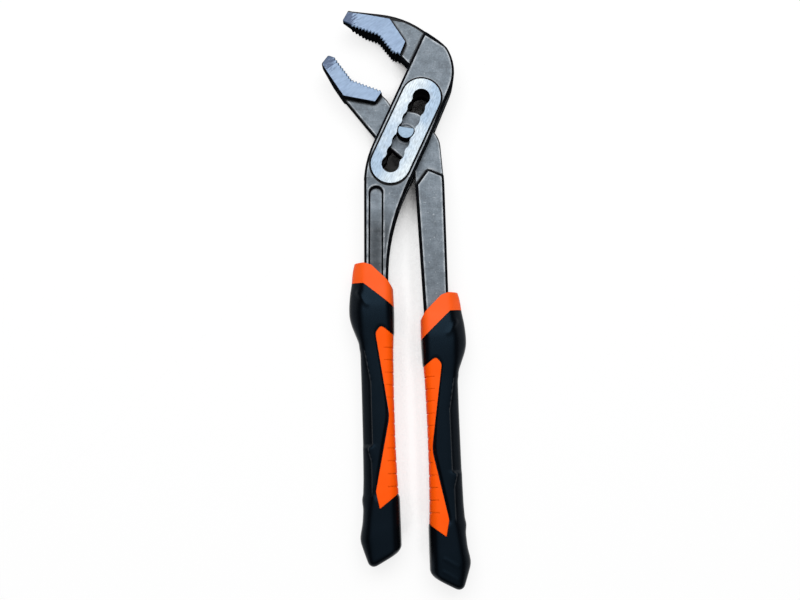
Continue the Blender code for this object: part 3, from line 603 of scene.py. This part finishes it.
def gripRing(place, down, shrink, scale=1.0, relief=False, drop=0.0):
    centre, outward, height = section(down, shrink, drop)
    tail = max(0.0, (down - gripSizes["tailFrom"]) / (gripSizes["length"] - gripSizes["tailFrom"]))
    slant = gripSizes["tailSlant"] * tail
    if relief:
        sunk = sunkRelief(place, down, down + slant * outward, outward)
        length = np.hypot(outward - centre, height)
        outward, height = outward - (outward - centre) / length * sunk, height - height / length * sunk
    outward = centre + scale * (outward - centre)
    x, y = gripPoint(place, down + slant * outward, outward)
    return np.stack((x, y, midZ + scale * height), 1) * mm


def gripLoft(name, place, start, end, shrink=0.0, drop=0.0):
    count = math.ceil((end - start) / gripSizes["ringStep"])
    return skinned(name, [gripRing(place, start + (end - start) * index / count, shrink, drop=drop)
                          for index in range(count + 1)])


def wholeLoft(name, place, end, shrink=0.0, step=None, relief=False):
    last = end - gripSizes["endRound"]
    count = math.ceil((last - gripSizes["start"]) / (step or gripSizes["ringStep"]))
    rings = []
    for index in range(count + 1):
        down = gripSizes["start"] + (last - gripSizes["start"]) * index / count
        rings.append(gripRing(place, down, shrink, relief=relief))
    half = stationAt(last)[2]
    for index in range(1, gripSizes["endRings"] + 1):
        turn = math.pi / 2 * index / gripSizes["endRings"]
        scale = 1 - gripSizes["endRound"] / half * (1 - math.cos(turn))
        rings.append(gripRing(place, last + gripSizes["endRound"] * math.sin(turn), shrink, scale, relief))
    return skinned(name, rings)


# Parting lines of the grips, as places down and outward, with a radius at each of the inlay's corners
partSizes = {"top": -0.5, "height": 8.0, "collarTo": 24.0, "inlayStart": 26.3, "waist": 62.0,
             "inlayEnd": 102.4, "inlayRoom": 4.0, "depth": 15.0, "roundSteps": 6}
collarTop = ((0.0, 14.0), (0.0, 4.6), (1.1, 1.4), (7.9, -5.6), (11.1, -7.6), (17.5, -14.0))
inlayTop = ((9.2, -14.0, 0.0), (0.0, -2.0, 1.6), (3.0, 0.4, 1.4))
inlayWaist = ((2.0, -4.2, 3.0),)
inlayBottom = ((-6.9, 2.0, 1.0), (0.0, 0.6, 0.5), (-10.9, -14.0, 0.0))


def filleted(corners):
    points = []
    for index, (x, y, radius) in enumerate(corners):
        before, after = corners[index - 1], corners[(index + 1) % len(corners)]
        if radius == 0.0:
            points.append((x, y))
            continue
        ways = []
        for other in (before, after):
            length = math.hypot(other[0] - x, other[1] - y)
            ways.append(((other[0] - x) / length, (other[1] - y) / length))
        for step in range(partSizes["roundSteps"] + 1):
            share = step / partSizes["roundSteps"]
            first, second = (1 - share) ** 2 * radius, share ** 2 * radius
            points.append((x + ways[0][0] * first + ways[1][0] * second,
                           y + ways[0][1] * first + ways[1][1] * second))
    return points


def collarOutline(place, top, bottom):
    return ([(top + down, outward) for down, outward in collarTop]
            + [(bottom + down, outward) for down, outward in place["collarBottom"]])


def inlayOutline(place):
    corners = []
    groups = (("inlayStart", inlayTop), ("waist", inlayWaist), ("inlayEnd", inlayBottom))
    for (start, group), (moveDown, moveOut) in zip(groups, place["inlayMoves"]):
        corners += [(partSizes[start] + down + moveDown, outward + moveOut, radius)
                    for down, outward, radius in group]
    return filleted(corners)


def widened(outline, distance):
    area = sum(a[0] * b[1] - b[0] * a[1] for a, b in zip(outline, outline[1:] + outline[:1]))
    outline = outline if area > 0 else outline[::-1]
    moved = []
    for index, (x, y) in enumerate(outline):
        px, py = outline[index - 1]
        nx, ny = outline[(index + 1) % len(outline)]
        ax, ay = (y - py) / math.hypot(x - px, y - py), -(x - px) / math.hypot(x - px, y - py)
        bx, by = (ny - y) / math.hypot(nx - x, ny - y), -(nx - x) / math.hypot(nx - x, ny - y)
        share = distance / (1 + ax * bx + ay * by)
        moved.append((x + (ax + bx) * share, y + (ay + by) * share))
    return moved


def prism(name, place, outline):
    points = [gripPoint(place, down, outward) for down, outward in outline]
    ends = (-partSizes["depth"], 2 * midZ + partSizes["depth"])
    return skinned(name, [[(x * mm, y * mm, height * mm) for x, y in points] for height in ends])


def mouldedMesh(thing, material):
    mesh = thing.data
    bpy.data.objects.remove(thing)
    bm = bmesh.new()
    bm.from_mesh(mesh)
    bmesh.ops.remove_doubles(bm, verts=bm.verts, dist=edgeSizes["merge"] * mm)
    bm.to_mesh(mesh)
    bm.free()
    mesh.materials.clear()
    mesh.materials.append(material)
    mesh.shade_smooth()
    mesh.set_sharp_from_angle(angle=math.radians(gripSizes["crease"]))
    return mesh


# Ribs: wedge hoops round the inlay's inner side, set along a line by a node tree, cut its steps

ribSizes = {"count": 12, "from": 35.6, "to": 92.8, "depth": 0.5, "run": 1.0, "rise": 0.05, "clear": 1.0,
            "leg": 4.8, "fade": 1.0, "endLift": 0.2, "middleReach": 0.75}
ribInputs = {"Geometry": "Geometry", "Rib Line": "Object", "Hoop": "Object", "Rib Count": "Int",
             "Middle Reach": "Float", "Material": "Material"}


def ribTree():
    tree = bpy.data.node_groups.new("ribSteps", "GeometryNodeTree")
    for name, kind in ribInputs.items():
        tree.interface.new_socket(name, in_out="INPUT", socket_type="NodeSocket" + kind)
    tree.interface.new_socket("Geometry", in_out="OUTPUT", socket_type="NodeSocketGeometry")
    inputs = tree.nodes.new("NodeGroupInput").outputs
    line = addNode(tree, "GeometryNodeObjectInfo", {"transform_space": "RELATIVE"},
                   Object=inputs["Rib Line"])
    hoop = addNode(tree, "GeometryNodeObjectInfo", {"transform_space": "ORIGINAL"}, Object=inputs["Hoop"])
    points = addNode(tree, "GeometryNodeResampleCurve", Curve=line.outputs["Geometry"],
                     Count=inputs["Rib Count"])
    factor = addNode(tree, "GeometryNodeSplineParameter").outputs["Factor"]
    middle = valueOf(tree, "PINGPONG", factor, 0.5)               # 0 at both ends, 0.5 in the middle
    reach = addNode(tree, "ShaderNodeMapRange", Value=middle, From_Max=0.5, To_Min=1.0,
                    To_Max=inputs["Middle Reach"])
    scale = addNode(tree, "ShaderNodeCombineXYZ", X=reach.outputs["Result"], Y=1.0, Z=1.0)
    placed = addNode(tree, "GeometryNodeInstanceOnPoints", Points=points.outputs["Curve"],
                     Instance=hoop.outputs["Geometry"], Scale=scale.outputs["Vector"])
    hoops = addNode(tree, "GeometryNodeRealizeInstances", Geometry=placed.outputs["Instances"])
    stepped = addNode(tree, "GeometryNodeMeshBoolean", {"operation": "DIFFERENCE", "solver": "EXACT"},
                      Mesh_1=inputs["Geometry"], Mesh_2=hoops.outputs["Geometry"])
    whole = addNode(tree, "GeometryNodeRealizeInstances", Geometry=stepped.outputs["Mesh"])
    dressed = addNode(tree, "GeometryNodeSetMaterial", Geometry=whole.outputs["Geometry"],
                      Material=inputs["Material"])
    output = tree.nodes.new("NodeGroupOutput")
    tree.links.new(dressed.outputs["Geometry"], output.inputs["Geometry"])
    return tree


def ribLine(name, place):
    curve = bpy.data.curves.new(name, "CURVE")
    curve.dimensions = "3D"
    spline = curve.splines.new("POLY")
    spline.points.add(ribSizes["count"] - 1)
    for index, point in enumerate(spline.points):
        down = ribSizes["from"] + (ribSizes["to"] - ribSizes["from"]) * index / (ribSizes["count"] - 1)
        x, y = gripPoint(place, down, gripSizes["inlaySink"] - stationAt(down)[1])
        point.co = (x * mm, y * mm, midZ * mm, 1.0)
    return addObject(name, curve)


def ribHoop(name, place):
    down = (ribSizes["from"] + ribSizes["to"]) / 2
    _, outward, height = section(down, 0.0, gripSizes["inlayDrop"])
    reach = outward + stationAt(down)[1]
    kept = np.argwhere(reach < ribSizes["leg"])[:, 0]             # the inner side, from front to back
    reach, height = reach[kept], height[kept]
    tangent = np.stack((np.gradient(reach), np.gradient(height)), 1)
    tangent /= np.linalg.norm(tangent, axis=1)[:, None]
    normal = np.stack((tangent[:, 1], -tangent[:, 0]), 1)
    lengths = np.concatenate(([0.0], np.cumsum(np.hypot(np.diff(reach), np.diff(height)))))
    fade = smooth(0.0, ribSizes["fade"], np.minimum(lengths, lengths[-1] - lengths))
    lean, outer = math.radians(place["lean"]), place["outer"]
    run, clear = ribSizes["run"], ribSizes["clear"]
    rings = []
    for index in range(len(reach)):
        ring = []
        deep = ribSizes["depth"] * (fade[index] - ribSizes["endLift"])
        for step, rise in ((0.0, -deep), (run, ribSizes["rise"]), (run, clear), (0.0, clear)):
            across = outer * (reach[index] + rise * normal[index][0])
            ring.append(((step * math.sin(lean) + across * math.cos(lean)) * mm,
                         (-step * math.cos(lean) + across * math.sin(lean)) * mm,
                         (height[index] + rise * normal[index][1]) * mm))
        rings.append(ring)
    return skinned(name, rings)


def cutRibs(inlay, place, tree):
    helpers = {"Rib Line": ribLine("ribLine", place), "Hoop": ribHoop("ribHoop", place)}
    values = {**helpers, "Rib Count": ribSizes["count"], "Middle Reach": ribSizes["middleReach"],
              "Material": inlayOrange}
    modifier = inlay.modifiers.new("ribs", "NODES")
    modifier.node_group = tree
    for socket in tree.interface.items_tree:
        if socket.in_out == "INPUT" and socket.name in values:
            modifier[socket.identifier] = values[socket.name]
    settle(inlay)
    for helper in helpers.values():
        bpy.data.objects.remove(helper)


def makeGrip(name, place, tree):
    arm, sleeve, cover = place["body"], name + "_grip_sleeve", name + "_grip_cover"
    gap, end, wallWidth = gripSizes["partGap"], gripSizes["length"], gripSizes["coverWall"]
    top, height, room = partSizes["top"], partSizes["height"], partSizes["inlayRoom"]
    collar = gripLoft(name + "Collar", place, gripSizes["start"], partSizes["collarTo"])
    cut(collar, prism("collarPart", place, collarOutline(place, top, height)), "INTERSECT")
    cut(collar, asObject("armCopy", mergedSolid(arm)))
    pieceFrom(name + "Collar", mouldedMesh(collar, collarOrange), arm, "grip_orange", sleeve)
    inlay = gripLoft(name + "Inlay", place, partSizes["inlayStart"] - room, partSizes["inlayEnd"] + room,
                     gripSizes["inlaySink"], gripSizes["inlayDrop"])
    cut(inlay, prism("inlayPart", place, inlayOutline(place)), "INTERSECT")
    cut(inlay, asObject("armCopy", mergedSolid(arm)))
    cutRibs(inlay, place, tree)
    pieceFrom(name + "Inlay", mouldedMesh(inlay, inlayOrange), arm, "grip_orange", sleeve)
    skin = wholeLoft(name + "Cover", place, end, relief=True)
    cut(skin, wholeLoft("core", place, end - wallWidth, wallWidth, gripSizes["coreStep"]))
    cut(skin, prism("collarPart", place, widened(collarOutline(place, -end, height), gap)))
    cut(skin, prism("inlayPart", place, widened(inlayOutline(place), gap)))
    pieceFrom(name + "Cover", mouldedMesh(skin, rubber), arm, "grip_black", cover)
    print(name, "grip made")


ribSteps = ribTree()
for gripName, gripPlace in gripPlaces.items():
    makeGrip(gripName, gripPlace, ribSteps)


# Floor, light and camera, the floor and the lamp in metres

white = (1.0, 1.0, 1.0)
floorSizes = {"width": 12.0, "drop": 0.0002, "shadeReach": 0.02, "samples": 8, "rough": 0.9,
              "tones": ((0.16, 0.02), (0.38, 0.97)), "glow": 0.8, "glowTones": ((0.22, 0.0), (0.44, 1.0))}
skySizes = {"rise": ((0.0, 0.08), (0.6, 0.12), (0.85, 1.05), (1.0, 1.35)),
            "lean": ((0.42, 0.7), (0.5, 0.95), (0.6, 1.25)),      # from the grips' end to the jaws' end
            "horizon": ((0.03, 1.0), (0.1, 0.0))}
keyLamp = {"place": (-0.03, 0.46, 1.05), "aim": (0.0, -0.06, 0.0), "size": (1.3, 0.62), "watts": 9.2}
cameraSizes = {"aim": (-2.6, -75.0, 15.0), "distance": 446.0, "tilt": 8.1, "lens": 46.98, "nearest": 10.0}


def makeFloor():
    bm = bmesh.new()
    bmesh.ops.create_grid(bm, x_segments=1, y_segments=1, size=floorSizes["width"] / 2)
    bmesh.ops.translate(bm, verts=bm.verts, vec=(0.0, 0.0, -floorSizes["drop"]))
    floor = asObject("floor", bm)
    material, tree, shader = newMaterial("paleFloor")
    lit = addNode(tree, "ShaderNodeAmbientOcclusion", {"samples": floorSizes["samples"]},
                  Distance=floorSizes["shadeReach"]).outputs["AO"]
    # The floor's colour darkens where the object closes it in: a painted shadow on top of the cast one
    tree.links.new(ramp(tree, lit, *floorSizes["tones"]), shader.inputs["Base Color"])
    shader.inputs["Roughness"].default_value = floorSizes["rough"]
    glow = addNode(tree, "ShaderNodeEmission", Color=(*white, 1.0), Strength=1.0)
    paths = addNode(tree, "ShaderNodeLightPath").outputs
    seen = valueOf(tree, "MAXIMUM", paths["Is Camera Ray"], paths["Is Glossy Ray"])
    seen = valueOf(tree, "MAXIMUM", seen, paths["Is Transmission Ray"])
    glowing = valueOf(tree, "MULTIPLY", ramp(tree, lit, *floorSizes["glowTones"]), floorSizes["glow"])
    mixed = addNode(tree, "ShaderNodeMixShader")
    tree.links.new(valueOf(tree, "MULTIPLY", seen, glowing), mixed.inputs[0])
    tree.links.new(shader.outputs[0], mixed.inputs[1])
    tree.links.new(glow.outputs[0], mixed.inputs[2])
    tree.links.new(mixed.outputs[0], tree.nodes["Material Output"].inputs["Surface"])
    floor.data.materials.append(material)


def makeWorld():
    world = bpy.data.worlds.new("studio")
    world.use_nodes = True
    tree = world.node_tree
    way = addNode(tree, "ShaderNodeTexCoord").outputs["Generated"]
    parts = addNode(tree, "ShaderNodeSeparateXYZ", Vector=way).outputs
    share = valueOf(tree, "MULTIPLY_ADD", parts["Y"], 0.5, 0.5)   # 0 behind the grips, 1 before the jaws
    lean = ramp(tree, share, *skySizes["lean"])
    sky = tinted(tree, ramp(tree, parts["Z"], *skySizes["rise"]), lean)
    # White behind the floor, also where metal mirrors it
    paths = addNode(tree, "ShaderNodeLightPath").outputs
    mirrored = valueOf(tree, "MAXIMUM", paths["Is Glossy Ray"], paths["Is Transmission Ray"])
    mirrored = valueOf(tree, "MULTIPLY", mirrored, ramp(tree, parts["Z"], *skySizes["horizon"]))
    seen = valueOf(tree, "MAXIMUM", paths["Is Camera Ray"], mirrored)
    tree.links.new(mixColour(tree, seen, sky, white), tree.nodes["Background"].inputs["Color"])
    scene.world = world


def makeLamp():
    light = bpy.data.lights.new("key", "AREA")
    light.energy = keyLamp["watts"]
    light.shape = "RECTANGLE"
    light.size, light.size_y = keyLamp["size"]
    lamp = addObject("key", light)
    lamp.location = keyLamp["place"]
    lamp.rotation_euler = (Vector(keyLamp["aim"]) - lamp.location).to_track_quat("-Z", "Y").to_euler()


def makeCamera():
    data = bpy.data.cameras.new("camera")
    data.lens = cameraSizes["lens"]
    data.clip_start = cameraSizes["nearest"] * mm
    camera = addObject("camera", data)
    tilt = math.radians(cameraSizes["tilt"])
    x, y, z = cameraSizes["aim"]
    camera.location = (x * mm, (y - cameraSizes["distance"] * math.sin(tilt)) * mm,
                       (z + cameraSizes["distance"] * math.cos(tilt)) * mm)
    camera.rotation_euler = (tilt, 0.0, 0.0)
    scene.camera = camera


makeFloor()
makeWorld()
makeLamp()
makeCamera()
print("stage made")
